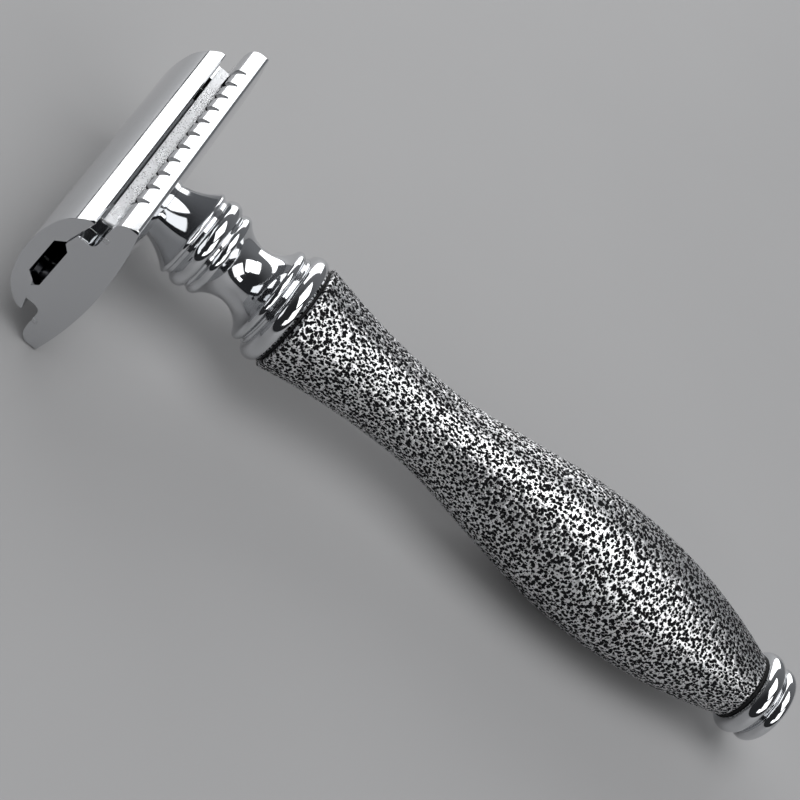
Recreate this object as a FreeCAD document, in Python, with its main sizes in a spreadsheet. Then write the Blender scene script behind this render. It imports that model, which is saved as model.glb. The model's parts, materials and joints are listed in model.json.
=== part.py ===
import FreeCAD, Part
import math
import os
import re
import Sketcher
from FreeCAD import Placement, Rotation, Vector

# Double-edge safety razor of three pieces, cap, base plate and handle, closed with no blade in it.
# It is modelled about its own axis: X runs from the head to the end knob and is 0 level with the
# tips of the safety bars, Y runs along the head, and Z runs across it. The whole razor is then
# laid down on its back bar and the belly of its grip.

# Driving dimensions in millimetres. Heights of the head are measured from the bar tips towards
# the cap, and places along the handle from the bar tips towards the knob.
DIMENSIONS = {
    # cap
    "cap_length": 40.8,
    "cap_height": 8.95,
    "crown_bend": 20.0,
    "crown_half_width": 6.0,
    "shoulder_bend": 7.5,
    "lip_half_width": 10.3,
    "lip_height": 4.5,
    "lip_edge_bend": 0.26,
    "pad_half_width": 10.05,
    "pad_height": 4.27,
    "pad_slope": 0.2217,
    "recess_half_width": 3.4,
    "recess_mouth_half_width": 4.6,
    "recess_height": 6.7,
    "cap_corner_bend": 0.6,
    "corner_clearance": 0.03,
    "cut_overrun": 1.0,
    # base plate
    "head_length": 42.0,
    "closing_gap": 0.04,
    "channel_half_width": 3.8,
    "channel_height": 4.55,
    "rail_inner_half_width": 4.8,
    "rail_outer_half_width": 7.2,
    "lug_half_width": 9.5,
    "wall_foot_half_width": 9.75,
    "trough_height": 2.45,
    "shelf_height": 3.85,
    "shelf_half_length": 15.2,
    "gutter_height": 1.7,
    "gutter_outer_half_width": 12.1,
    "lug_end": 18.5,
    "lug_bend": 0.6,
    "notch_half_width": 7.15,
    "notch_bend": 1.1,
    "cut_clearance": 0.1,
    "bar_inner_half_width": 11.5,
    "bar_crest_half_width": 12.5,
    "bar_crest_height": 2.25,
    "bar_brow_half_width": 13.72,
    "bar_brow_height": 0.95,
    "bar_brow_bend": 1.95,
    "bar_half_width": 14.0,
    "bar_tip_bend": 0.42,
    "bar_under_half_width": 13.7,
    "bar_under_depth": 0.42,
    "plate_depth": 1.9,
    "bar_corner_bend": 0.55,
    "seat_depth": 1.7,
    "seat_radius": 4.15,
    # scallops cut across both safety bars
    "scallop_count": 11,
    "scallop_pitch": 3.1,
    "scallop_floor_half_width": 0.16,
    "scallop_half_width": 1.0,
    "scallop_depth": 0.8,
    "scallop_bend": 0.95,
    "scallop_root_height": 2.1,
    "scallop_tip_height": 0.86,
    "scallop_tip_half_width": 13.74,
    "scallop_overrun": 0.2,
    # stud and locating pins
    "stud_radius": 2.45,
    "stud_end": 10.4,
    "stud_head_radius": 3.1,
    "stud_head_height": 8.3,
    "stud_head_thickness": 0.9,
    "pin_radius": 1.35,
    "pin_pitch": 25.8,
    "pin_top": 8.0,
    "pin_tip": 1.6,
    "head_hole_gap": 0.2,
    "fit_gap": 0.03,
    "thread_gap": 0.05,
    # neck
    "neck_start": 1.75,
    "neck_seat_radius": 3.95,
    "rim_edge": 0.1,
    "bead_step": 0.05,
    "upper_flare_end": 6.45,
    "upper_flare_radius": 6.32,
    "upper_flare_bend": 9.5,
    "upper_rim_end": 7.2,
    "upper_rim_radius": 6.3,
    "upper_rim_bend": 0.42,
    "upper_step_radius": 6.1,
    "bead_start": 7.75,
    "bead_end": 10.25,
    "bead_foot_radius": 6.12,
    "bead_bend": 1.42,
    "small_bead_start": 10.55,
    "small_bead_end": 12.05,
    "small_bead_radius": 5.98,
    "small_bead_bend": 0.95,
    "waist_place": 15.4,
    "neck_waist_radius": 4.43,
    "lower_flare_end": 19.2,
    "lower_flare_radius": 7.0,
    "lower_flare_bend": 4.1,
    "lower_rim_end": 20.45,
    "lower_rim_radius": 6.95,
    "lower_rim_bend": 0.7,
    "neck_end": 20.8,
    "lower_step_radius": 6.7,
    "spigot_radius": 4.05,
    "spigot_end": 27.0,
    "insert_radius": 3.2,
    "insert_start": 2.35,
    "insert_end": 11.0,
    "rod_socket_start": 15.0,
    # collar and its seal
    "collar_step_end": 21.1,
    "collar_step_radius": 7.15,
    "collar_bead_start_radius": 7.3,
    "collar_bead_end_radius": 7.75,
    "collar_bead_bend": 1.5,
    "collar_end": 23.85,
    "collar_seal_radius": 7.55,
    # grip sleeve
    "grip_start": 24.3,
    "grip_start_radius": 8.3,
    "grip_waist": 46.0,
    "grip_waist_radius": 6.05,
    "grip_waist_bend": 50.0,
    "grip_slope_degrees": 9.2,
    "grip_belly_radius": 9.95,
    "grip_belly_bend": 80.0,
    "grip_end": 107.35,
    "grip_rim_bend": 0.4,
    "grip_shoulder": 94.0,
    "grip_counterbore": 4.9,
    # inside the grip
    "liner_bore": 2.9,
    "rod_radius": 2.0,
    "rod_start": 15.2,
    "rod_end": 110.5,
    "rod_bush_end": 31.0,
    "rear_bush_nose": 90.0,
    "rear_bush_end": 97.0,
    "washer_thickness": 0.9,
    "washer_radius": 3.5,
    "washer_sweep_degrees": 352,
    "nut_thickness": 2.2,
    "nut_across_flats": 7.0,
    # end knob and its seal
    "knob_spigot_start": 102.5,
    "knob_seal_radius": 5.45,
    "knob_start": 107.8,
    "knob_foot_radius": 5.45,
    "knob_bead_end": 110.7,
    "knob_bead_bend": 1.46,
    "knob_groove_radius": 5.3,
    "knob_small_bead_start": 111.0,
    "knob_small_bead_radius": 4.85,
    "knob_end": 113.2,
    "knob_small_bead_bend": 1.12,
    "knob_tap_end": 111.2,
    "end_chamfer": 0.5,
    "ring_chamfer": 0.2,
    "seal_chamfer": 0.1,
}

LEAST_CUT = 1e-4
STEEPEST_LIE = 10.0
LIE_ACCURACY = 1e-6

doc = FreeCAD.newDocument("safety_razor")


def make_sheet():
    """The spreadsheet that holds every driving dimension."""
    sizes = doc.addObject("Spreadsheet::Sheet", "Sizes")
    for row, (alias, value) in enumerate(DIMENSIONS.items(), start=1):
        sizes.set(f"A{row}", alias)
        sizes.set(f"B{row}", str(value))
        sizes.setAlias(f"B{row}", alias)
    doc.recompute()
    return sizes


sheet = make_sheet()


def bound(expression):
    """The expression with each dimension's name pointing at its cell."""
    def cell(word):
        return f"Sizes.{word[0]}" if word[0] in DIMENSIONS else word[0]

    return re.sub(r"[a-z_]+", cell, expression)


def number(expression):
    """What the expression comes to in millimetres."""
    return float(sheet.evalExpression(bound(expression)))


# ---------------------------------------------------------------- sketches

def new_body(name):
    body = doc.addObject("PartDesign::Body", name)
    body.Label = name
    return body


def origin_feature(body, role):
    return next(feature for feature in body.Origin.OriginFeatures if feature.Role == role)


def new_sketch(body, name, plane, height="0"):
    """A sketch on one of the body's own planes, lifted along the plane's normal."""
    sketch = body.newObject("Sketcher::SketchObject", name)
    sketch.AttachmentSupport = [(origin_feature(body, plane), "")]
    sketch.MapMode = "FlatFace"
    sketch.AttachmentOffset = Placement(Vector(0, 0, number(height)), Rotation())
    if height != "0":
        sketch.setExpression("AttachmentOffset.Base.z", bound(height))
    return sketch


def short_arc(start, end, bend, turn):
    """The shorter arc of radius bend from start to end, turning left or right."""
    chord = end - start
    across = Vector(-chord.y, chord.x, 0).normalize()
    reach = math.sqrt(max(0.0, bend ** 2 - (chord.Length / 2) ** 2))
    centre = (start + end) / 2 + across * (reach if turn == "left" else -reach)
    first, last = (start, end) if turn == "left" else (end, start)
    first_angle = math.atan2(first.y - centre.y, first.x - centre.x)
    last_angle = math.atan2(last.y - centre.y, last.x - centre.x)
    return Part.ArcOfCircle(Part.Circle(centre, Vector(0, 0, 1), bend), first_angle, last_angle)


def pin_point(sketch, constraints, bindings, edge, place, corner):
    """Hold one end of an edge at the corner's two expressions."""
    for kind, axis, text in (("DistanceX", -2, corner[0]), ("DistanceY", -1, corner[1])):
        if text == "0":
            constraints.append(Sketcher.Constraint("PointOnObject", edge, place, axis))
            continue
        bindings.append((len(constraints), text))
        constraints.append(Sketcher.Constraint(kind, -1, 1, edge, place, number(text)))


def draw(sketch, *outlines):
    """Closed outlines in the sketch. A corner is (x, y), or (x, y, bend, turn) when the edge that
    arrives at it is an arc of radius bend."""
    constraints = []
    bindings = []
    for corners in outlines:
        points = [Vector(number(corner[0]), number(corner[1]), 0) for corner in corners]
        edges = []
        for index, corner in enumerate(corners):
            start, end = points[index - 1], points[index]
            if len(corner) == 2:
                edges.append((sketch.addGeometry(Part.LineSegment(start, end), False), 1, 2))
                continue
            bend, turn = corner[2:]
            arc = sketch.addGeometry(short_arc(start, end, number(bend), turn), False)
            edges.append((arc, 1, 2) if turn == "left" else (arc, 2, 1))
            bindings.append((len(constraints), bend))
            constraints.append(Sketcher.Constraint("Radius", arc, number(bend)))
        for index, corner in enumerate(corners):
            edge, _, place = edges[index]
            following, following_place, _ = edges[(index + 1) % len(edges)]
            constraints.append(Sketcher.Constraint("Coincident", edge, place, following, following_place))
            pin_point(sketch, constraints, bindings, edge, place, corner)
    apply_constraints(sketch, constraints, bindings)


def draw_circles(sketch, circles):
    """Circles given as (x, y, radius)."""
    constraints = []
    bindings = []
    for centre_x, centre_y, radius in circles:
        centre = Vector(number(centre_x), number(centre_y), 0)
        circle = sketch.addGeometry(Part.Circle(centre, Vector(0, 0, 1), number(radius)), False)
        bindings.append((len(constraints), radius))
        constraints.append(Sketcher.Constraint("Radius", circle, number(radius)))
        pin_point(sketch, constraints, bindings, circle, 3, (centre_x, centre_y))
    apply_constraints(sketch, constraints, bindings)


def apply_constraints(sketch, constraints, bindings):
    sketch.addConstraint(constraints)
    for index, text in bindings:
        if re.search("[a-z]", text):
            sketch.setExpression(f"Constraints[{index}]", bound(text))


def both_halves(half, join, crown):
    """A closed outline from its half at positive y. join is the arc, or nothing, that crosses the
    centre plane after the half, and crown the one that comes back to its first corner."""
    mirrored = []
    arrivals = [join] + [corner[2:] for corner in reversed(half[1:])]
    for corner, arrival in zip(reversed(half), arrivals):
        mirrored.append((corner[0], f"-({corner[1]})", *arrival))
    return [(half[0][0], half[0][1], *crown)] + half[1:] + mirrored


def rectangle(low_x, high_x, low_y, high_y):
    return [(low_x, low_y), (high_x, low_y), (high_x, high_y), (low_x, high_y)]


# ---------------------------------------------------------------- features

def turned(name, corners, sweep="360"):
    """A turned piece from its half section, where x runs along the axis and y is the radius."""
    body = new_body(name)
    sketch = new_sketch(body, f"{name}_section", "XZ_Plane")
    draw(sketch, corners)
    turning = body.newObject("PartDesign::Revolution", f"{name}_turning")
    turning.Profile = sketch
    turning.ReferenceAxis = (sketch, ["H_Axis"])
    turning.Angle = number(sweep)
    sketch.Visibility = False
    return body


def bar_stock(name, corners, length):
    """A bar of constant section along Y, centred on the handle's axis."""
    body = new_body(name)
    sketch = new_sketch(body, f"{name}_section", "XZ_Plane")
    draw(sketch, corners)
    pad = body.newObject("PartDesign::Pad", f"{name}_bar")
    pad.Profile = sketch
    pad.SideType = "Symmetric"
    pad.Length = number(length)
    pad.setExpression("Length", bound(length))
    doc.recompute()
    return body


def cut(body, sketch, name, reverse=False, both_ways=False):
    """A pocket through everything on one side of the sketch, or on both, that must remove metal."""
    before = body.Shape.Volume
    pocket = body.newObject("PartDesign::Pocket", name)
    pocket.Profile = sketch
    pocket.Type = "ThroughAll"
    pocket.Reversed = reverse
    pocket.SideType = "Symmetric" if both_ways else "One side"
    must_remove(body, before, name)


def must_remove(body, before, name):
    """Stop if the body is no smaller than it was before its last cut."""
    doc.recompute()
    if body.Shape.Volume > before - LEAST_CUT:
        raise ValueError(f"{name} removes nothing")


def trim_corners(body, name, half_length, half_width, bend, level=None):
    """Round four corners in plan, through the piece or from a level towards the cap. The arc meets
    the sides at a slight angle, just outside their tangent, so that it cuts cleanly."""
    half_length = f"{half_length}+corner_clearance"
    half_width = f"{half_width}+corner_clearance"
    beyond_length = f"{half_length}+cut_overrun"
    beyond_width = f"{half_width}+cut_overrun"
    corners = []
    for end_sign in ("", "-"):
        for side_sign in ("", "-"):
            turn = "right" if end_sign == side_sign else "left"
            corners.append([
                (f"{end_sign}({half_length}-{bend})", f"{side_sign}({half_width})"),
                (f"{end_sign}({half_length})", f"{side_sign}({half_width}-{bend})", bend, turn),
                (f"{end_sign}({beyond_length})", f"{side_sign}({half_width}-{bend})"),
                (f"{end_sign}({beyond_length})", f"{side_sign}({beyond_width})"),
                (f"{end_sign}({half_length}-{bend})", f"{side_sign}({beyond_width})"),
            ])
    sketch = new_sketch(body, f"{name}_corners", "YZ_Plane", level or "0")
    draw(sketch, *corners)
    cut(body, sketch, f"{name}_corner_trim", both_ways=level is None)


# ---------------------------------------------------------------- head

def pad_level(half_width, drop="0"):
    """X of the cap's clamping pads, which slope from the recess to the lips, moved by drop towards
    the handle."""
    return f"-(pad_height+(pad_half_width-{half_width})*pad_slope)+{drop}"


PAD_LEAN = "sqrt(1+pad_slope^2)"
RAIL_DROP = f"closing_gap*{PAD_LEAN}"


def make_cap():
    """Domed cap with a recess along its middle and a clamping pad each side of it."""
    crown_drop = "crown_bend-sqrt(crown_bend^2-crown_half_width^2)"
    half = [
        (f"-(cap_height-({crown_drop}))", "crown_half_width"),
        ("-lip_height", "lip_half_width", "shoulder_bend", "right"),
        ("-pad_height", "pad_half_width", "lip_edge_bend", "right"),
        (pad_level("recess_mouth_half_width"), "recess_mouth_half_width"),
        ("-recess_height", "recess_half_width"),
    ]
    body = bar_stock("cap", both_halves(half, (), ("crown_bend", "right")), "cap_length")
    trim_corners(body, "cap", "cap_length/2", "lip_half_width", "cap_corner_bend")
    stud_socket = new_sketch(body, "cap_stud_socket", "XZ_Plane")
    draw(stud_socket, [
        ("-(stud_head_height+fit_gap)", "0"),
        ("-(stud_head_height+fit_gap)", "stud_head_radius+fit_gap"),
        ("-(stud_head_height-stud_head_thickness-fit_gap)", "stud_head_radius+fit_gap"),
        ("-(stud_head_height-stud_head_thickness-fit_gap)", "stud_radius+fit_gap"),
        ("-(recess_height-cut_overrun)", "stud_radius+fit_gap"),
        ("-(recess_height-cut_overrun)", "0"),
    ])
    before = body.Shape.Volume
    socket = body.newObject("PartDesign::Groove", "cap_stud_hole")
    socket.Profile = stud_socket
    socket.ReferenceAxis = (stud_socket, ["H_Axis"])
    socket.Angle = 360
    must_remove(body, before, "cap_stud_hole")
    pin_holes = new_sketch(body, "cap_pin_sockets", "YZ_Plane", "-(pin_top+fit_gap)")
    draw_circles(pin_holes, [(f"{sign}pin_pitch/2", "0", "pin_radius+fit_gap") for sign in ("", "-")])
    cut(body, pin_holes, "cap_pin_holes", reverse=True)
    return body


def plate_section():
    """Section of the base plate: channel, rails, lugs, trough, safety bars and curved underside."""
    half = [
        ("-channel_height", "channel_half_width"),
        (pad_level("rail_inner_half_width", RAIL_DROP), "rail_inner_half_width"),
        (pad_level("lug_half_width", RAIL_DROP), "lug_half_width"),
        ("-trough_height", "wall_foot_half_width"),
        ("-trough_height", "bar_inner_half_width"),
        ("-bar_crest_height", "bar_crest_half_width"),
        ("-bar_brow_height", "bar_brow_half_width", "bar_brow_bend", "right"),
        ("0", "bar_half_width"),
        ("bar_under_depth", "bar_under_half_width", "bar_tip_bend", "right"),
    ]
    rise = "(plate_depth-bar_under_depth)"
    under_bend = f"(bar_under_half_width^2+{rise}^2)/(2*{rise})"
    return both_halves(half, (under_bend, "right"), ())


def make_base_plate():
    body = bar_stock("base_plate", plate_section(), "head_length")
    trim_corners(body, "base_plate", "head_length/2", "bar_half_width", "bar_corner_bend")
    along = ("-shelf_half_length", "shelf_half_length")
    wall = "wall_foot_half_width+cut_clearance"
    shelves = new_sketch(body, "shelf_outline", "YZ_Plane", "-shelf_height")
    draw(shelves,
         rectangle(*along, "rail_outer_half_width", wall),
         rectangle(*along, f"-({wall})", "-rail_outer_half_width"))
    cut(body, shelves, "shelves")
    gutters = new_sketch(body, "gutter_outline", "YZ_Plane", "-gutter_height")
    draw(gutters,
         rectangle(*along, "wall_foot_half_width", "gutter_outer_half_width"),
         rectangle(*along, "-gutter_outer_half_width", "-wall_foot_half_width"))
    cut(body, gutters, "gutters")
    for end, place in (("near", "lug_end"), ("far", "-lug_end")):
        notches = new_sketch(body, f"{end}_notch_section", "XZ_Plane", place)
        draw(notches, notch_section(wall, ""), notch_section(wall, "-"))
        cut(body, notches, f"{end}_notches", reverse=end == "near")
    trim_corners(body, "lugs", "lug_end", "wall_foot_half_width", "lug_bend", "-trough_height")
    holes = new_sketch(body, "plate_holes", "YZ_Plane")
    draw_circles(holes, [("0", "0", "stud_radius+head_hole_gap"),
                         ("pin_pitch/2", "0", "pin_radius+head_hole_gap"),
                         ("-pin_pitch/2", "0", "pin_radius+head_hole_gap")])
    cut(body, holes, "stud_and_pin_holes", both_ways=True)
    seat = new_sketch(body, "seat_outline", "YZ_Plane", "seat_depth")
    draw_circles(seat, [("0", "0", "seat_radius")])
    cut(body, seat, "neck_seat", reverse=True)
    for side in (1, -1):
        cut_scallops(body, side)
    return body


def notch_section(wall, sign):
    """Section of the notch between a lug's end and the plate's, with a rounded inner corner."""
    turn = "right" if sign else "left"
    return [
        ("-cap_height", f"{sign}notch_half_width"),
        ("-(trough_height+notch_bend)", f"{sign}notch_half_width"),
        ("-trough_height", f"{sign}(notch_half_width+notch_bend)", "notch_bend", turn),
        ("-trough_height", f"{sign}({wall})"),
        ("-cap_height", f"{sign}({wall})"),
    ]


def cut_scallops(body, side):
    """Tapering grooves across one safety bar, each between two rounded lobes. A groove's floor
    leans less than the bar's face, so that it runs out before the tip."""
    label = "front" if side > 0 else "back"
    sketch = body.newObject("Sketcher::SketchObject", f"{label}_scallop_outline")
    sketch.AttachmentSupport = [(origin_feature(body, "XY_Plane"), "")]
    sketch.MapMode = "FlatFace"
    rise = number("scallop_root_height-scallop_tip_height")
    reach = number("scallop_tip_half_width-bar_inner_half_width")
    lean = math.degrees(math.atan2(rise, reach))
    root = Vector(number("-scallop_root_height"), 0, side * number("bar_inner_half_width"))
    back = Vector(-rise, 0, -side * reach).normalize() * number("scallop_overrun")
    sketch.AttachmentOffset = Placement(root + back, Rotation(Vector(0, 1, 0), side * lean))
    first = "-(scallop_count-1)/2*scallop_pitch"
    draw(sketch, [
        ("0", f"{first}+scallop_floor_half_width"),
        ("-scallop_depth", f"{first}+scallop_half_width", "scallop_bend", "right"),
        ("-cap_height", f"{first}+scallop_half_width"),
        ("-cap_height", f"{first}-scallop_half_width"),
        ("-scallop_depth", f"{first}-scallop_half_width"),
        ("0", f"{first}-scallop_floor_half_width", "scallop_bend", "right"),
    ])
    run = ("sqrt((scallop_root_height-scallop_tip_height)^2"
           "+(scallop_tip_half_width-bar_inner_half_width)^2)+2*scallop_overrun")
    before = body.Shape.Volume
    groove = body.newObject("PartDesign::Pocket", f"{label}_scallop")
    groove.Profile = sketch
    groove.Type = "Length"
    groove.Length = number(run)
    groove.setExpression("Length", bound(run))
    groove.Reversed = side > 0
    must_remove(body, before, f"{label}_scallop")
    row = body.newObject("PartDesign::LinearPattern", f"{label}_scallops")
    row.Originals = [groove]
    row.Direction = (origin_feature(body, "Y_Axis"), [""])
    row.Mode = "Extent"
    row.Length = number("(scallop_count-1)*scallop_pitch")
    row.setExpression("Length", bound("(scallop_count-1)*scallop_pitch"))
    row.Occurrences = int(number("scallop_count"))
    body.Tip = row
    doc.recompute()


def make_cap_stud():
    """Stud whose head is cast into the cap and whose end screws into the neck."""
    return turned("cap_stud", [
        ("-stud_head_height", "0"),
        ("-stud_head_height", "stud_head_radius"),
        ("-(stud_head_height-stud_head_thickness)", "stud_head_radius"),
        ("-(stud_head_height-stud_head_thickness)", "stud_radius"),
        ("stud_end-end_chamfer", "stud_radius"),
        ("stud_end", "stud_radius-end_chamfer"),
        ("stud_end", "0"),
    ])


def make_cap_pin(name, sign):
    """Locating pin, pressed into the cap, that goes through a blade's slot into the base plate."""
    body = new_body(name)
    sketch = new_sketch(body, f"{name}_outline", "YZ_Plane", "-pin_top")
    draw_circles(sketch, [(f"{sign}pin_pitch/2", "0", "pin_radius")])
    pad = body.newObject("PartDesign::Pad", f"{name}_bar")
    pad.Profile = sketch
    pad.Length = number("pin_top-pin_tip")
    pad.setExpression("Length", bound("pin_top-pin_tip"))
    doc.recompute()
    tip_edge = max(range(len(pad.Shape.Edges)), key=lambda index: pad.Shape.Edges[index].CenterOfMass.x)
    chamfer = body.newObject("PartDesign::Chamfer", f"{name}_tip")
    chamfer.Base = (pad, [f"Edge{tip_edge + 1}"])
    chamfer.Size = number("end_chamfer")
    chamfer.setExpression("Size", bound("end_chamfer"))
    return body


# ---------------------------------------------------------------- handle

def make_neck():
    """Turned neck: two flares, two beads and two rims, with a spigot for the collar and grip."""
    return turned("neck", [
        ("insert_end", "0"),
        ("insert_end", "insert_radius"),
        ("neck_start", "insert_radius"),
        ("neck_start", "neck_seat_radius"),
        ("upper_flare_end", "upper_flare_radius", "upper_flare_bend", "left"),
        ("upper_rim_end", "upper_rim_radius", "upper_rim_bend", "right"),
        ("upper_rim_end+rim_edge", "upper_step_radius"),
        ("bead_start", "upper_step_radius"),
        ("bead_end", "bead_foot_radius", "bead_bend", "right"),
        ("small_bead_start", "bead_foot_radius-bead_step"),
        ("small_bead_end", "small_bead_radius", "small_bead_bend", "right"),
        ("waist_place", "neck_waist_radius", "((waist_place-small_bead_end)^2"
         "+(small_bead_radius-neck_waist_radius)^2)/(2*(small_bead_radius-neck_waist_radius))", "left"),
        ("lower_flare_end", "lower_flare_radius", "lower_flare_bend", "left"),
        ("lower_rim_end", "lower_rim_radius", "lower_rim_bend", "right"),
        ("lower_rim_end+rim_edge", "lower_step_radius"),
        ("neck_end", "lower_step_radius"),
        ("neck_end", "spigot_radius"),
        ("spigot_end", "spigot_radius"),
        ("spigot_end", "rod_radius+fit_gap"),
        ("rod_socket_start", "rod_radius+fit_gap"),
        ("rod_socket_start", "0"),
    ])


def ring(name, start, end, bore, radius, chamfer="ring_chamfer"):
    """Plain round bush or ring with its outer edges broken."""
    return turned(name, [
        (start, bore),
        (start, f"{radius}-{chamfer}"),
        (f"{start}+{chamfer}", radius),
        (f"{end}-{chamfer}", radius),
        (end, f"{radius}-{chamfer}"),
        (end, bore),
    ])


def make_collar():
    """Collar with a fine step and the large bead that caps the grip."""
    return turned("collar", [
        ("neck_end", "spigot_radius+fit_gap"),
        ("neck_end", "collar_step_radius"),
        ("collar_step_end", "collar_step_radius"),
        ("collar_step_end", "collar_bead_start_radius"),
        ("collar_end", "collar_bead_end_radius", "collar_bead_bend", "right"),
        ("collar_end", "spigot_radius+fit_gap"),
    ])


def make_grip_sleeve():
    """Sleeve that narrows to a waist, swells to a belly and tapers to the knob."""
    bends = "(grip_waist_bend+grip_belly_bend)"
    rise = f"(grip_belly_radius-grip_waist_radius-{bends}*(1-cos(grip_slope_degrees)))"
    run_start = "grip_waist+grip_waist_bend*sin(grip_slope_degrees)"
    run_start_radius = "grip_waist_radius+grip_waist_bend*(1-cos(grip_slope_degrees))"
    run_end = f"{run_start}+{rise}/tan(grip_slope_degrees)"
    run_end_radius = f"{run_start_radius}+{rise}"
    belly = f"({run_end}+grip_belly_bend*sin(grip_slope_degrees))"
    end_radius = f"grip_belly_radius-grip_belly_bend+sqrt(grip_belly_bend^2-(grip_end-{belly})^2)"
    flare = "(grip_start_radius-grip_waist_radius)"
    flare_bend = f"((grip_waist-grip_start-grip_rim_bend)^2+{flare}^2)/(2*{flare})"
    return turned("grip_sleeve", [
        ("grip_start", "spigot_radius+fit_gap"),
        ("grip_start", "grip_start_radius-grip_rim_bend"),
        ("grip_start+grip_rim_bend", "grip_start_radius", "grip_rim_bend", "right"),
        ("grip_waist", "grip_waist_radius", flare_bend, "left"),
        (run_start, run_start_radius, "grip_waist_bend", "left"),
        (run_end, run_end_radius),
        (belly, "grip_belly_radius", "grip_belly_bend", "right"),
        ("grip_end", end_radius, "grip_belly_bend", "right"),
        ("grip_end", "grip_counterbore"),
        ("grip_shoulder", "grip_counterbore"),
        ("grip_shoulder", "spigot_radius+fit_gap"),
    ])


def make_tie_rod():
    """Threaded rod that clamps neck, collar, grip and bush together."""
    return turned("tie_rod", [
        ("rod_start", "0"),
        ("rod_start", "rod_radius-end_chamfer"),
        ("rod_start+end_chamfer", "rod_radius"),
        ("rod_end-end_chamfer", "rod_radius"),
        ("rod_end", "rod_radius-end_chamfer"),
        ("rod_end", "0"),
    ])


def make_rear_bush():
    """Stepped bush: its nose centres the rod in the liner, its flange bears on the grip's shoulder."""
    return turned("rear_bush", [
        ("rear_bush_nose", "rod_radius+fit_gap"),
        ("rear_bush_nose", "liner_bore-fit_gap"),
        ("grip_shoulder", "liner_bore-fit_gap"),
        ("grip_shoulder", "grip_counterbore-fit_gap"),
        ("rear_bush_end", "grip_counterbore-fit_gap"),
        ("rear_bush_end", "rod_radius+fit_gap"),
    ])


def make_spring_washer():
    """Split washer under the nut."""
    return turned("spring_washer", [
        ("rear_bush_end", "rod_radius+2*fit_gap"),
        ("rear_bush_end", "washer_radius"),
        ("rear_bush_end+washer_thickness", "washer_radius"),
        ("rear_bush_end+washer_thickness", "rod_radius+2*fit_gap"),
    ], "washer_sweep_degrees")


def make_rod_nut():
    """Thin hexagon nut on the rear end of the tie rod."""
    body = new_body("rod_nut")
    seat = "rear_bush_end+washer_thickness"
    sketch = new_sketch(body, "rod_nut_outline", "YZ_Plane", seat)
    corner_radius = "nut_across_flats/sqrt(3)"
    draw(sketch, [(f"{corner_radius}*cos({angle})", f"{corner_radius}*sin({angle})")
                  for angle in range(30, 390, 60)])
    pad = body.newObject("PartDesign::Pad", "rod_nut_bar")
    pad.Profile = sketch
    pad.Length = number("nut_thickness")
    pad.setExpression("Length", bound("nut_thickness"))
    doc.recompute()
    hole = new_sketch(body, "rod_nut_hole", "YZ_Plane", seat)
    draw_circles(hole, [("0", "0", "rod_radius+fit_gap")])
    cut(body, hole, "rod_nut_bore", both_ways=True)
    return body


def make_end_knob():
    """Chromed knob of two beads, with a tapped spigot that closes the grip."""
    return turned("end_knob", [
        ("knob_spigot_start", "rod_radius+fit_gap"),
        ("knob_spigot_start", "grip_counterbore-fit_gap-end_chamfer"),
        ("knob_spigot_start+end_chamfer", "grip_counterbore-fit_gap"),
        ("knob_start", "grip_counterbore-fit_gap"),
        ("knob_start", "knob_foot_radius"),
        ("knob_bead_end", "knob_groove_radius", "knob_bead_bend", "right"),
        ("knob_small_bead_start", "knob_groove_radius-bead_step"),
        ("knob_end", "knob_small_bead_radius", "knob_small_bead_bend", "right"),
        ("knob_end", "0"),
        ("knob_tap_end", "0"),
        ("knob_tap_end", "rod_radius+fit_gap"),
    ])


# ---------------------------------------------------------------- assembly

def lying_placement(bodies):
    """The turn and shift that lay the razor down. It rests on the tip of its back bar and on the
    belly of its grip, which are both arcs in the plane of X and Z."""
    shapes = {body.Label: body.Shape for body in bodies}
    both = Part.makeCompound([shapes["base_plate"], shapes["grip_sleeve"]])
    low, high = 0.0, STEEPEST_LIE
    while high - low > LIE_ACCURACY:
        tilt = (low + high) / 2
        turned_shape = both.copy()
        turned_shape.rotate(Vector(), Vector(0, 1, 0), tilt)
        plate_low, sleeve_low = (solid.optimalBoundingBox().ZMin for solid in turned_shape.Solids)
        if sleeve_low > plate_low:
            low = tilt
        else:
            high = tilt
    razor = Part.makeCompound(list(shapes.values()))
    razor.rotate(Vector(), Vector(0, 1, 0), tilt)
    box = razor.optimalBoundingBox()
    shift = Vector(-(box.XMin + box.XMax) / 2, -(box.YMin + box.YMax) / 2, -box.ZMin)
    return Placement(shift, Rotation(Vector(0, 1, 0), tilt))


def check(bodies):
    for item in doc.Objects:
        if "Invalid" in item.State or "Error" in item.State:
            raise ValueError(f"{item.Name} failed: {item.State}")
    for body in bodies:
        if body.Shape.isNull() or not body.Shape.isValid() or len(body.Shape.Solids) != 1:
            raise ValueError(f"{body.Name} is not one valid solid")


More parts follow.
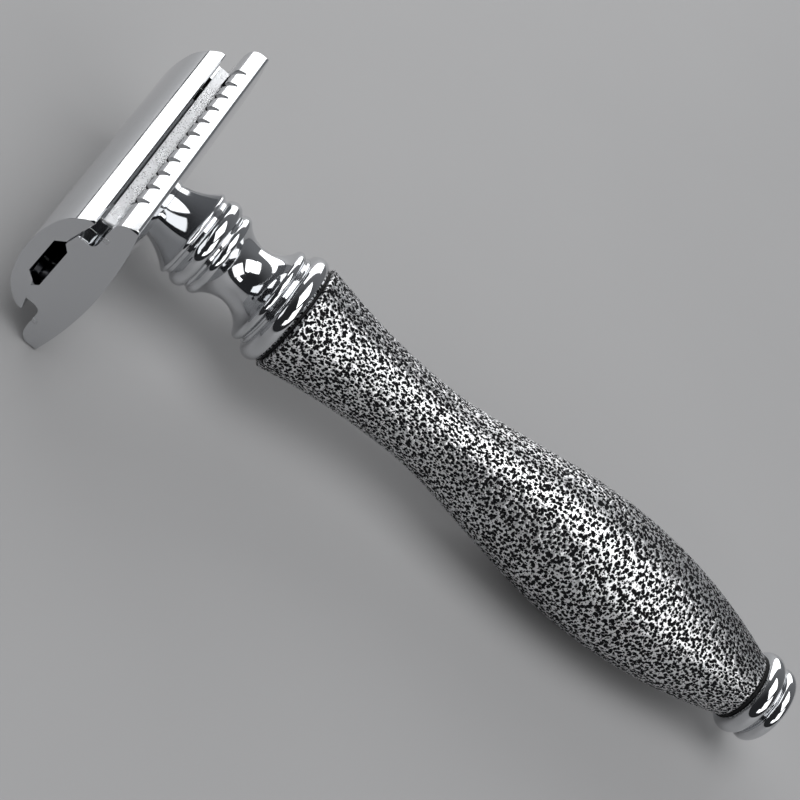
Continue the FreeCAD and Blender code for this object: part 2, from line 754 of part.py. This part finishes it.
def main():
    bodies = [
        make_cap(),
        make_cap_stud(),
        make_cap_pin("cap_pin_near", "-"),
        make_cap_pin("cap_pin_far", ""),
        make_base_plate(),
        make_neck(),
        ring("thread_insert", "insert_start", "insert_end",
             "stud_radius+thread_gap", "insert_radius-fit_gap"),
        make_collar(),
        ring("collar_seal", "collar_end", "grip_start",
             "spigot_radius+fit_gap", "collar_seal_radius", "seal_chamfer"),
        make_grip_sleeve(),
        ring("liner_tube", "spigot_end", "grip_shoulder", "liner_bore", "spigot_radius"),
        ring("rod_bush", "spigot_end", "rod_bush_end", "rod_radius+fit_gap", "liner_bore-fit_gap"),
        make_tie_rod(),
        make_rear_bush(),
        make_spring_washer(),
        make_rod_nut(),
        ring("knob_seal", "grip_end", "knob_start",
             "grip_counterbore", "knob_seal_radius", "seal_chamfer"),
        make_end_knob(),
    ]
    doc.recompute()
    check(bodies)
    lying = lying_placement(bodies)
    for body in bodies:
        body.Placement = lying
    doc.recompute()
    check(bodies)
    os.makedirs("parts", exist_ok=True)
    for body in bodies:
        body.Shape.exportStep(f"parts/{body.Label}.step")
    print("tilt in degrees:", math.degrees(lying.Rotation.Angle), "shift in mm:", *lying.Base)


main()
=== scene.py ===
import json
import math

import bpy
import numpy as np
from mathutils import Matrix, Vector


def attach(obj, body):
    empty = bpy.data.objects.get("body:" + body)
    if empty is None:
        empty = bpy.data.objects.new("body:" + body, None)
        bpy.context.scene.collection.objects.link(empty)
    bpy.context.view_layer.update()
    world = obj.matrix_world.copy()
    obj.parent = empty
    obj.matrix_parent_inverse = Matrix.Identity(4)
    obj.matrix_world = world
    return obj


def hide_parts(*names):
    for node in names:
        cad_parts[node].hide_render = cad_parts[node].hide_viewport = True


# The looks of a double-edge safety razor that lies on its back safety bar and on the belly of its
# grip. The razor's own axes are used throughout: along the handle from the tips of the safety bars,
# along the head, and across both. Lengths are in metres, and MM turns millimetres into them.
MM = 0.001

CAMERA_AZIMUTH = math.radians(13.656)
CAMERA_ELEVATION = math.radians(42.615)
CAMERA_ROLL = math.radians(46.819)
CAMERA_DISTANCE = 260.14 * MM
CAMERA_LENS = 86.09
CAMERA_AIM = Vector((-9.43, 0.48, 12.0)) * MM

SLEEVE_PITCH = 0.235 * MM
SLEEVE_STEPS_AROUND = 224
SLEEVE_SKIN_GAP = 0.006 * MM
SLEEVE_RIM = 0.35 * MM
SLEEVE_RADIUS_IN_MM = 8.3
PIT_DEPTH = 0.085 * MM

THREAD_PITCH = 0.8 * MM
THREAD_DEPTH = 0.43 * MM
THREAD_START = 0.5 * MM
THREAD_STEPS_PER_TURN = 10
THREAD_STEPS_AROUND = 60

# Where the base plate is rough, or painted near-black as shade in its recesses, in millimetres across,
# along the handle and along the head, measured from the middle of the head and from the tips of the bars.
WALL_ACROSS = (9.3, 9.9)
WALL_ALONG = (-3.78, -1.7)
SHELF_ACROSS = (8.0, 11.0)
SHELF_ALONG = (-4.45, -3.82)
GUTTER_ACROSS = (9.9, 12.35)
GUTTER_ALONG = (-2.42, -1.6)
SHELF_HALF_LENGTH = 15.2

CHROME = (0.62, 0.63, 0.645, 1.0)
# Near-black painted shade for the base plate's shelves and gutters.
PAINTED_SHADE_BLACK = (0.025, 0.025, 0.026, 1.0)
CAST_SPECK = (0.16, 0.165, 0.17, 1.0)
SILVER = (0.76, 0.765, 0.775, 1.0)
TARNISH = (0.42, 0.43, 0.45, 1.0)
PIT_BLACK = (0.006, 0.006, 0.007, 1.0)


# ---------------------------------------------------------------- the razor's own axes

def razor_axes(frame):
    """Origin and the three axes: along the handle, along the head, and across both."""
    turn = next(joint for joint in frame["joints"] if joint["name"] == "handle_turn")
    along = Vector(turn["axis"]).normalized()
    lengthwise = Vector((0.0, 1.0, 0.0))
    return Vector(turn["pos_m"]), along, lengthwise, along.cross(lengthwise)


def skin(node, axes):
    """Place along the handle, radius, and whether it faces outwards, for each vertex of a node."""
    origin, along, lengthwise, across = (np.array(axis) for axis in axes)
    points = np.array([vertex.co for vertex in node.data.vertices]) - origin
    normals = np.array([vertex.normal for vertex in node.data.vertices])
    places = points @ along
    sideways = points @ lengthwise
    upwards = points @ across
    radii = np.hypot(sideways, upwards)
    outward = (normals @ lengthwise) * sideways + (normals @ across) * upwards
    return places, radii, outward > 0.2 * radii


def outer_outline(node, axes):
    """The outer radius of a turned node at each place where its mesh has a ring."""
    places, radii, outer = skin(node, axes)
    rings = {}
    for place, radius in zip(np.round(places[outer], 7), radii[outer]):
        rings[place] = max(radius, rings.get(place, 0.0))
    ring_places = np.array(sorted(rings))
    return ring_places, np.array([rings[place] for place in ring_places])


def lathe(name, axes, places, radii, solid_ends):
    """A mesh of rings about the handle's axis. radii has a row for each place. Without solid ends
    the last ring joins the first, so the outline is a closed loop."""
    origin, along, lengthwise, across = (np.array(axis) for axis in axes)
    rings, steps = radii.shape
    angles = np.arange(steps) * 2.0 * math.pi / steps
    spokes = np.outer(np.cos(angles), lengthwise) + np.outer(np.sin(angles), across)
    centres = origin + np.outer(places, along)
    points = centres[:, None, :] + radii[:, :, None] * spokes[None, :, :]
    ring = np.arange(rings - 1 if solid_ends else rings)[:, None] * steps
    following_ring = (ring + steps) % (rings * steps)
    step = np.arange(steps)[None, :]
    following_step = (step + 1) % steps
    corners = (ring + step, ring + following_step, following_ring + following_step, following_ring + step)
    faces = np.stack(corners, axis=-1).reshape(-1, 4).tolist()
    if solid_ends:
        faces.append(list(range(steps))[::-1])
        faces.append(list(range((rings - 1) * steps, rings * steps)))
    mesh = bpy.data.meshes.new(name)
    mesh.from_pydata(points.reshape(-1, 3).tolist(), [], faces)
    mesh.update()
    piece = bpy.data.objects.new(name, mesh)
    bpy.context.scene.collection.objects.link(piece)
    return piece


# ---------------------------------------------------------------- node helpers

def feed(tree, value, socket):
    """Join a socket to another socket, or give it a plain value."""
    if isinstance(value, bpy.types.NodeSocket):
        tree.links.new(value, socket)
    else:
        socket.default_value = value


def maths(tree, operation, first, second=0.0):
    node = tree.nodes.new("ShaderNodeMath")
    node.operation = operation
    feed(tree, first, node.inputs[0])
    feed(tree, second, node.inputs[1])
    return node.outputs[0]


def plus(tree, first, second):
    return maths(tree, "ADD", first, second)


def minus(tree, first, second):
    return maths(tree, "SUBTRACT", first, second)


def times(tree, first, second):
    return maths(tree, "MULTIPLY", first, second)


def vector_maths(tree, operation, first, second=(0.0, 0.0, 0.0)):
    node = tree.nodes.new("ShaderNodeVectorMath")
    node.operation = operation
    feed(tree, first, node.inputs[0])
    feed(tree, second, node.inputs[1])
    return node.outputs[1] if operation == "DOT_PRODUCT" else node.outputs[0]


def scaled(tree, vector, amount):
    node = tree.nodes.new("ShaderNodeVectorMath")
    node.operation = "SCALE"
    feed(tree, vector, node.inputs[0])
    feed(tree, amount, node.inputs["Scale"])
    return node.outputs[0]


def fade(tree, value, start, end, low=0.0, high=1.0):
    """A smooth step from low to high as the value goes from start to end."""
    node = tree.nodes.new("ShaderNodeMapRange")
    node.interpolation_type = "SMOOTHSTEP"
    for socket, amount in zip(node.inputs, (value, start, end, low, high)):
        feed(tree, amount, socket)
    return node.outputs[0]


def noise(tree, place, scale, detail=2.0, output="Fac"):
    node = tree.nodes.new("ShaderNodeTexNoise")
    feed(tree, place, node.inputs["Vector"])
    node.inputs["Scale"].default_value = scale
    node.inputs["Detail"].default_value = detail
    return node.outputs[output]


def combine(tree, first, second, third):
    node = tree.nodes.new("ShaderNodeCombineXYZ")
    for socket, amount in zip(node.inputs, (first, second, third)):
        feed(tree, amount, socket)
    return node.outputs[0]


def separate(tree, vector):
    node = tree.nodes.new("ShaderNodeSeparateXYZ")
    feed(tree, vector, node.inputs[0])
    return node.outputs


def blend_colours(tree, share, first, second):
    """The first colour mixed with a share of the second. A mix node keeps its sockets for colours
    at inputs 6 and 7 and at output 2."""
    node = tree.nodes.new("ShaderNodeMix")
    node.data_type = "RGBA"
    feed(tree, share, node.inputs["Factor"])
    feed(tree, first, node.inputs[6])
    feed(tree, second, node.inputs[7])
    return node.outputs[2]


def bump(tree, height, depth, normal=None):
    """A normal tilted by a height field that spans the given depth."""
    node = tree.nodes.new("ShaderNodeBump")
    node.inputs["Distance"].default_value = depth
    feed(tree, height, node.inputs["Height"])
    if normal is not None:
        feed(tree, normal, node.inputs["Normal"])
    return node.outputs["Normal"]


def soft_edges(tree, radius):
    """The surface's normal, rounded over at its edges."""
    node = tree.nodes.new("ShaderNodeBevel")
    node.samples = 4
    node.inputs["Radius"].default_value = radius
    return node.outputs["Normal"]


def truly_round(tree, place, axes, normal):
    """The normal without its part around the handle's axis, which a turned surface doesn't have."""
    origin, axis = axes[0], axes[1]
    from_origin = vector_maths(tree, "SUBTRACT", place, origin / MM)
    around = vector_maths(tree, "CROSS_PRODUCT", axis, from_origin)
    in_room = tree.nodes.new("ShaderNodeVectorTransform")
    in_room.vector_type = "VECTOR"
    in_room.convert_from = "OBJECT"
    in_room.convert_to = "WORLD"
    feed(tree, around, in_room.inputs[0])
    round_way = vector_maths(tree, "NORMALIZE", in_room.outputs[0])
    error = scaled(tree, round_way, vector_maths(tree, "DOT_PRODUCT", normal, round_way))
    return vector_maths(tree, "NORMALIZE", vector_maths(tree, "SUBTRACT", normal, error))


def new_material(name, colour, metallic, roughness):
    """A material, its node tree, its surface node and a place in the mesh in millimetres."""
    material = bpy.data.materials.new(name)
    material.use_nodes = True
    tree = material.node_tree
    surface = tree.nodes["Principled BSDF"]
    feed(tree, colour, surface.inputs["Base Color"])
    feed(tree, metallic, surface.inputs["Metallic"])
    feed(tree, roughness, surface.inputs["Roughness"])
    coordinates = tree.nodes.new("ShaderNodeTexCoord")
    place = scaled(tree, coordinates.outputs["Object"], 1.0 / MM)
    return material, tree, surface, place


def razor_place(tree, place, axes):
    """Millimetres along the handle, along the head and across, for a place in the mesh."""
    origin, *directions = axes
    from_origin = vector_maths(tree, "SUBTRACT", place, origin / MM)
    return [vector_maths(tree, "DOT_PRODUCT", from_origin, direction) for direction in directions]


# ---------------------------------------------------------------- materials

def polish(tree, surface, place, streaks, smooth):
    """What polishing leaves on a smooth normal: a faint ripple, hairlines along the streaks, and
    smudges that change the roughness a little."""
    hairlines = fade(tree, noise(tree, streaks, 1.0, 3.0), 0.55, 0.75)
    smudges = fade(tree, noise(tree, place, 0.22, 3.0), 0.35, 0.7)
    rough = plus(tree, 0.035, times(tree, smudges, 0.045))
    rough = plus(tree, rough, times(tree, hairlines, 0.05))
    feed(tree, rough, surface.inputs["Roughness"])
    ripple = bump(tree, noise(tree, place, 0.55, 1.0), 0.002 * MM, smooth)
    feed(tree, bump(tree, hairlines, 0.0004 * MM, ripple), surface.inputs["Normal"])


def head_chrome(name, axes):
    """Polished chrome with its hairlines along the head."""
    material, tree, surface, place = new_material(name, CHROME, 1.0, 0.05)
    along, lengthwise, across = razor_place(tree, place, axes)
    streaks = combine(
        tree, times(tree, along, 9.0), times(tree, lengthwise, 0.25), times(tree, across, 9.0))
    polish(tree, surface, place, streaks, soft_edges(tree, 0.09 * MM))
    return material, tree, surface, place, (along, lengthwise, across)


def band(tree, value, limits, softness):
    """1 between the limits, fading to 0 outside them."""
    low, high = limits
    return times(tree, fade(tree, value, low - softness, low), fade(tree, value, high + softness, high))


def plate_chrome(axes):
    """The same chrome, over a casting left rough along the walls between the rails and the bars,
    with painted shade: the shelves and gutters are coloured near-black to stand in for their deep shadow."""
    material, tree, surface, place, (along, lengthwise, across) = head_chrome("plate_chrome", axes)
    width = maths(tree, "ABSOLUTE", across)
    length = maths(tree, "ABSOLUTE", lengthwise)
    wall = times(tree, band(tree, width, WALL_ACROSS, 0.1), band(tree, along, WALL_ALONG, 0.04))
    grains = times(tree, noise(tree, place, 5.5, 3.0), wall)
    smooth = surface.inputs["Normal"].links[0].from_socket
    feed(tree, bump(tree, grains, 0.16 * MM, smooth), surface.inputs["Normal"])
    polished = surface.inputs["Roughness"].links[0].from_socket
    feed(tree, plus(tree, polished, times(tree, wall, 0.22)), surface.inputs["Roughness"])
    cast = times(tree, wall, fade(tree, length, 16.0, 12.5))
    specks = times(tree, fade(tree, noise(tree, place, 4.2, 3.0), 0.56, 0.66), cast)
    # Painted shade: between the lugs, the shelves and gutters get a near-black, non-metallic colour in
    # place of the shadow deep in these recesses.
    shelf = times(tree, band(tree, width, SHELF_ACROSS, 0.05), band(tree, along, SHELF_ALONG, 0.03))
    gutter = times(tree, band(tree, width, GUTTER_ACROSS, 0.05), band(tree, along, GUTTER_ALONG, 0.05))
    between_lugs = fade(tree, length, SHELF_HALF_LENGTH + 0.1, SHELF_HALF_LENGTH)
    painted_recess_shade = times(tree, maths(tree, "MAXIMUM", shelf, gutter), between_lugs)
    plated = blend_colours(tree, specks, CHROME, CAST_SPECK)
    feed(tree, blend_colours(tree, painted_recess_shade, plated, PAINTED_SHADE_BLACK), surface.inputs["Base Color"])
    unshaded = minus(tree, 1.0, painted_recess_shade)
    feed(tree, unshaded, surface.inputs["Metallic"])
    feed(tree, times(tree, unshaded, 0.5), surface.inputs["Specular IOR Level"])
    return material


def turned_chrome(axes):
    """Polished chrome with its hairlines around the handle's axis."""
    material, tree, surface, place = new_material("turned_chrome", CHROME, 1.0, 0.05)
    along, lengthwise, across = razor_place(tree, place, axes)
    radius = radius_of(tree, lengthwise, across)
    streaks = combine(tree, times(tree, along, 9.0), times(tree, radius, 9.0), 0.0)
    polish(tree, surface, place, streaks, truly_round(tree, place, axes, soft_edges(tree, 0.06 * MM)))
    return material


def radius_of(tree, lengthwise, across):
    square = plus(tree, times(tree, lengthwise, lengthwise), times(tree, across, across))
    return maths(tree, "SQRT", square)


def dots(tree, place, scale, least, greatest, crowding):
    """Round dots of differing size, one in each cell, larger where the crowding is greater."""
    cells = tree.nodes.new("ShaderNodeTexVoronoi")
    cells.voronoi_dimensions = "2D"
    feed(tree, place, cells.inputs["Vector"])
    cells.inputs["Scale"].default_value = scale
    chance = separate(tree, cells.outputs["Color"])[0]
    size = plus(tree, fade(tree, chance, 0.0, 1.0, least, greatest), crowding)
    gap = minus(tree, cells.outputs["Distance"], size)
    return fade(tree, gap, 0.04, -0.04)


def pit_field(tree, place, axes):
    """How deep the surface is pitted at a place in millimetres: 0 on open metal and 1 in a pit.
    The pits are ragged dots of two sizes, and they run together here and there. They are laid out
    on the skin, along the handle and around it."""
    along, lengthwise, across = razor_place(tree, place, axes)
    around = times(tree, maths(tree, "ARCTAN2", lengthwise, across), SLEEVE_RADIUS_IN_MM)
    wander = vector_maths(tree, "SUBTRACT", noise(tree, place, 2.6, 2.0, "Color"), (0.5, 0.5, 0.5))
    shift = tree.nodes.new("ShaderNodeVectorMath")
    shift.operation = "MULTIPLY_ADD"
    feed(tree, wander, shift.inputs[0])
    shift.inputs[1].default_value = (0.45, 0.45, 0.45)
    feed(tree, combine(tree, along, around, 0.0), shift.inputs[2])
    ragged = shift.outputs[0]
    crowding = fade(tree, noise(tree, place, 0.6, 2.0), 0.3, 0.7, -0.02, 0.03)
    large = dots(tree, ragged, 1.6, 0.34, 0.47, crowding)
    small = dots(tree, ragged, 2.7, 0.2, 0.36, crowding)
    return maths(tree, "MAXIMUM", large, small)


def antique_silver(axes):
    """Bright silver over a pitted casting, with black left in the pits."""
    material, tree, surface, place = new_material("antique_silver", SILVER, 1.0, 0.2)
    pits = pit_field(tree, place, axes)
    tarnish = fade(tree, noise(tree, place, 1.1, 3.0), 0.5, 0.8, 0.0, 0.3)
    open_metal = blend_colours(tree, tarnish, SILVER, TARNISH)
    feed(tree, blend_colours(tree, pits, open_metal, PIT_BLACK), surface.inputs["Base Color"])
    feed(tree, minus(tree, 1.0, pits), surface.inputs["Metallic"])
    rough = plus(tree, 0.27, times(tree, noise(tree, place, 3.0, 2.0), 0.12))
    feed(tree, plus(tree, rough, times(tree, pits, 0.4)), surface.inputs["Roughness"])
    feed(tree, minus(tree, 0.5, times(tree, pits, 0.42)),
         surface.inputs["Specular IOR Level"])
    grain = bump(tree, noise(tree, place, 5.0, 2.0), 0.03 * MM)
    feed(tree, bump(tree, minus(tree, 1.0, pits), 0.03 * MM, grain), surface.inputs["Normal"])
    return material


def lathe_cut(name, axes, colour, stain, roughness):
    """Bare metal with fine tool rings around the handle's axis and a little staining."""
    material, tree, surface, place = new_material(name, colour, 1.0, roughness)
    along, lengthwise, across = razor_place(tree, place, axes)
    radius = radius_of(tree, lengthwise, across)
    rings = noise(tree, combine(tree, times(tree, along, 12.0), times(tree, radius, 12.0), 0.0), 1.0, 2.0)
    stained = fade(tree, noise(tree, place, 0.6, 3.0), 0.45, 0.75)
    feed(tree, blend_colours(tree, stained, colour, stain), surface.inputs["Base Color"])
    feed(tree, plus(tree, roughness, times(tree, rings, 0.16)), surface.inputs["Roughness"])
    feed(tree, bump(tree, rings, 0.006 * MM), surface.inputs["Normal"])
    return material


def nylon():
    """Natural nylon, milky and faintly mottled."""
    material, tree, surface, place = new_material("nylon", (0.83, 0.82, 0.77, 1.0), 0.0, 0.45)
    mottle = noise(tree, place, 0.9, 3.0)
    feed(tree, blend_colours(tree, mottle, (0.87, 0.86, 0.82, 1.0), (0.76, 0.74, 0.67, 1.0)),
         surface.inputs["Base Color"])
    surface.inputs["Subsurface Weight"].default_value = 0.2
    surface.inputs["Subsurface Scale"].default_value = 0.5 * MM
    feed(tree, bump(tree, noise(tree, place, 6.0, 2.0), 0.008 * MM), surface.inputs["Normal"])
    return material


def rubber():
    """Matt black rubber with a dusty bloom."""
    material, tree, surface, place = new_material("rubber", (0.012, 0.012, 0.013, 1.0), 0.0, 0.6)
    bloom = fade(tree, noise(tree, place, 2.2, 4.0), 0.5, 0.8)
    feed(tree, blend_colours(tree, bloom, (0.006, 0.006, 0.0065, 1.0), (0.02, 0.02, 0.021, 1.0)),
         surface.inputs["Base Color"])
    surface.inputs["Specular IOR Level"].default_value = 0.15
    feed(tree, bump(tree, noise(tree, place, 9.0, 2.0), 0.01 * MM), surface.inputs["Normal"])
    return material


# ---------------------------------------------------------------- pieces

def make_sleeve(frame, axes, material):
    """The grip sleeve, dense enough for its pits to be real hollows."""
    node = frame["nodes"]["grip_sleeve"]
    ring_places, ring_radii = outer_outline(node, axes)
    places, radii, _ = skin(node, axes)
    start, end = places.min(), places.max()
    bore = radii[places < start + SLEEVE_PITCH].min()
    counterbore = radii[places > end - SLEEVE_PITCH].min()
    between_ends = (places > start + SLEEVE_RIM) & (places < end - SLEEVE_RIM)
    shoulder = places[between_ends & (radii < counterbore + SLEEVE_PITCH)].mean()
    outside = np.linspace(start, end, round((end - start) / SLEEVE_PITCH))
    outline = np.concatenate([outside, [end, shoulder, shoulder, start]])
    outline_radii = np.concatenate([
        np.interp(outside, ring_places, ring_radii) - SLEEVE_SKIN_GAP,
        [counterbore, counterbore, bore, bore],
    ])
    grid = np.repeat(outline_radii[:, None], SLEEVE_STEPS_AROUND, axis=1)
    sleeve = lathe("sleeve", axes, outline, grid, solid_ends=False)
    open_skin = np.clip(np.minimum(outside - start, end - outside) / SLEEVE_RIM - 0.6, 0.0, 1.0)
    inner_skin = np.zeros(len(outline) - len(outside))
    pitted = np.repeat(np.concatenate([open_skin, inner_skin]), SLEEVE_STEPS_AROUND)
    sleeve.data.attributes.new("pitted", "FLOAT", "POINT").data.foreach_set("value", pitted)
    sink_pits(sleeve, axes)
    sleeve.data.shade_smooth()
    sleeve.data.materials.append(material)
    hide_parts("grip_sleeve")
    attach(sleeve, "handle")


def sink_pits(sleeve, axes):
    """Push the skin in where the pits are."""
    tree = bpy.data.node_groups.new("pit_hollows", "GeometryNodeTree")
    tree.interface.new_socket("Geometry", in_out="INPUT", socket_type="NodeSocketGeometry")
    tree.interface.new_socket("Geometry", in_out="OUTPUT", socket_type="NodeSocketGeometry")
    position = tree.nodes.new("GeometryNodeInputPosition")
    place = scaled(tree, position.outputs[0], 1.0 / MM)
    pitted = tree.nodes.new("GeometryNodeInputNamedAttribute")
    pitted.data_type = "FLOAT"
    pitted.inputs["Name"].default_value = "pitted"
    depth = times(tree, pit_field(tree, place, axes), pitted.outputs[0])
    outward = tree.nodes.new("GeometryNodeInputNormal").outputs[0]
    inward = scaled(tree, outward, times(tree, depth, -PIT_DEPTH))
    move = tree.nodes.new("GeometryNodeSetPosition")
    feed(tree, tree.nodes.new("NodeGroupInput").outputs[0], move.inputs["Geometry"])
    feed(tree, inward, move.inputs["Offset"])
    feed(tree, move.outputs[0], tree.nodes.new("NodeGroupOutput").inputs[0])
    hollows = sleeve.modifiers.new("hollows", "NODES")
    hollows.node_group = tree
    ready = sleeve.evaluated_get(bpy.context.evaluated_depsgraph_get())
    sleeve.data = bpy.data.meshes.new_from_object(ready)
    sleeve.modifiers.clear()


def make_stud(frame, axes, material):
    """The cap's stud, with the right-hand thread that the handle screws onto."""
    ring_places, ring_radii = outer_outline(frame["nodes"]["cap_stud"], axes)
    end = ring_places.max()
    in_head = ring_places < 0.0
    under_head = ring_places[in_head].max()
    shank_places, shank_radii = ring_places[~in_head], ring_radii[~in_head]
    shank = shank_radii.max()
    threaded = np.arange(THREAD_START, end, THREAD_PITCH / THREAD_STEPS_PER_TURN)
    places = np.concatenate([ring_places[in_head], [under_head], threaded, [end]])
    envelope = np.concatenate([
        ring_radii[in_head],
        [shank],
        np.interp(threaded, shank_places, shank_radii),
        [shank_radii[-1]],
    ])
    turns = np.arange(THREAD_STEPS_AROUND) / THREAD_STEPS_AROUND
    phase = (places[:, None] / THREAD_PITCH - turns[None, :]) % 1.0
    run_in = np.clip((places - THREAD_START) / THREAD_PITCH, 0.0, 1.0)
    groove = THREAD_DEPTH * np.abs(2.0 * phase - 1.0) * run_in[:, None]
    radii = np.minimum(envelope[:, None], np.maximum(envelope, shank)[:, None] - groove)
    stud = lathe("stud", axes, places, radii, solid_ends=True)
    stud.data.materials.append(material)
    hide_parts("cap_stud")
    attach(stud, "cap")


# ---------------------------------------------------------------- stage

def make_camera():
    """A camera over the razor's front, rolled so that the handle runs from corner to corner."""
    data = bpy.data.cameras.new("camera")
    data.sensor_width = 36.0
    data.lens = CAMERA_LENS
    data.clip_start = 0.01
    data.clip_end = 10.0
    camera = bpy.data.objects.new("camera", data)
    bpy.context.scene.collection.objects.link(camera)
    level = math.cos(CAMERA_ELEVATION)
    ahead = Vector((
        math.sin(CAMERA_AZIMUTH) * level, math.cos(CAMERA_AZIMUTH) * level, -math.sin(CAMERA_ELEVATION)))
    level_right = Vector((math.cos(CAMERA_AZIMUTH), -math.sin(CAMERA_AZIMUTH), 0.0))
    level_up = level_right.cross(ahead)
    right = level_right * math.cos(CAMERA_ROLL) + level_up * math.sin(CAMERA_ROLL)
    turn = Matrix((right, right.cross(ahead), -ahead)).transposed()
    camera.matrix_world = Matrix.Translation(CAMERA_AIM - ahead * CAMERA_DISTANCE) @ turn.to_4x4()
    bpy.context.scene.camera = camera


def make_floor():
    bpy.ops.mesh.primitive_plane_add(size=4.0)
    floor = bpy.context.object
    floor.name = "floor"
    material, tree, surface, place = new_material("floor", (0.33, 0.33, 0.335, 1.0), 0.0, 0.6)
    feed(tree, blend_colours(tree, noise(tree, place, 0.02, 3.0), (0.32, 0.32, 0.325, 1.0),
                             (0.34, 0.34, 0.345, 1.0)), surface.inputs["Base Color"])
    floor.data.materials.append(material)


def softbox(name, centre, width, height, power):
    """A soft rectangular light aimed at the razor."""
    data = bpy.data.lights.new(name, "AREA")
    data.shape = "RECTANGLE"
    data.size = width
    data.size_y = height
    data.energy = power
    light = bpy.data.objects.new(name, data)
    bpy.context.scene.collection.objects.link(light)
    light.location = centre
    light.rotation_mode = "QUATERNION"
    light.rotation_quaternion = (-Vector(centre)).to_track_quat("-Z", "Y")
    light.visible_camera = False


def make_lighting():
    """A broad window behind the razor, softboxes above and beside it, a small lamp in front of it
    and a dim room around."""
    softbox("window", (-0.35, 0.75, 0.32), 1.2, 0.6, 6.0)
    softbox("skylight", (0.12, -0.06, 1.0), 0.8, 0.95, 7.6)
    softbox("side_light", (0.64, -0.56, 0.52), 0.7, 0.6, 3.0)
    softbox("lamp", (0.35, -1.0, 0.42), 0.28, 0.22, 0.7)
    world = bpy.data.worlds.new("room")
    bpy.context.scene.world = world
    world.use_nodes = True
    tree = world.node_tree
    direction = tree.nodes.new("ShaderNodeTexCoord").outputs["Generated"]
    towards_back = separate(tree, direction)[1]
    glow = fade(tree, towards_back, -0.5, 0.9)
    background = tree.nodes["Background"]
    feed(tree, blend_colours(tree, glow, (0.025, 0.026, 0.028, 1.0), (0.2, 0.205, 0.215, 1.0)),
         background.inputs["Color"])


def finish_nodes(frame, axes):
    """Give every node of the frame that still shows its material."""
    chrome = turned_chrome(axes)
    steel = lathe_cut("machined_steel", axes, (0.5, 0.5, 0.51, 1.0), (0.32, 0.31, 0.3, 1.0), 0.22)
    brass = lathe_cut("brass", axes, (0.72, 0.52, 0.22, 1.0), (0.45, 0.29, 0.12, 1.0), 0.2)
    black = rubber()
    finishes = {
        "cap": head_chrome("cap_chrome", axes)[0],
        "base_plate": plate_chrome(axes),
        "neck": chrome,
        "collar": chrome,
        "end_knob": chrome,
        "cap_pin_near": steel,
        "cap_pin_far": steel,
        "tie_rod": steel,
        "spring_washer": steel,
        "rod_nut": steel,
        "thread_insert": brass,
        "liner_tube": brass,
        "rear_bush": brass,
        "rod_bush": nylon(),
        "collar_seal": black,
        "knob_seal": black,
    }
    for name, material in finishes.items():
        mesh = frame["nodes"][name].data
        mesh.materials.clear()
        mesh.materials.append(material)
    return steel


with open("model.json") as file:
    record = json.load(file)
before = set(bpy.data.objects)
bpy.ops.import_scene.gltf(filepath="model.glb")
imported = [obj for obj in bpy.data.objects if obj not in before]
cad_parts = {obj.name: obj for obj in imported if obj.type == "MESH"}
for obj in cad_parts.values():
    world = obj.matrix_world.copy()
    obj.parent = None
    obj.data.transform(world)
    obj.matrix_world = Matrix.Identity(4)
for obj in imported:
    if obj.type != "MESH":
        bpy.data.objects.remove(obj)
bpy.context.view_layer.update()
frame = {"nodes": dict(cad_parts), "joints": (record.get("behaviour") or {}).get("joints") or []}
axes = razor_axes(frame)
make_camera()
make_floor()
make_lighting()
steel = finish_nodes(frame, axes)
make_sleeve(frame, axes, antique_silver(axes))
make_stud(frame, axes, steel)
bpy.context.scene.view_settings.view_transform = "Standard"
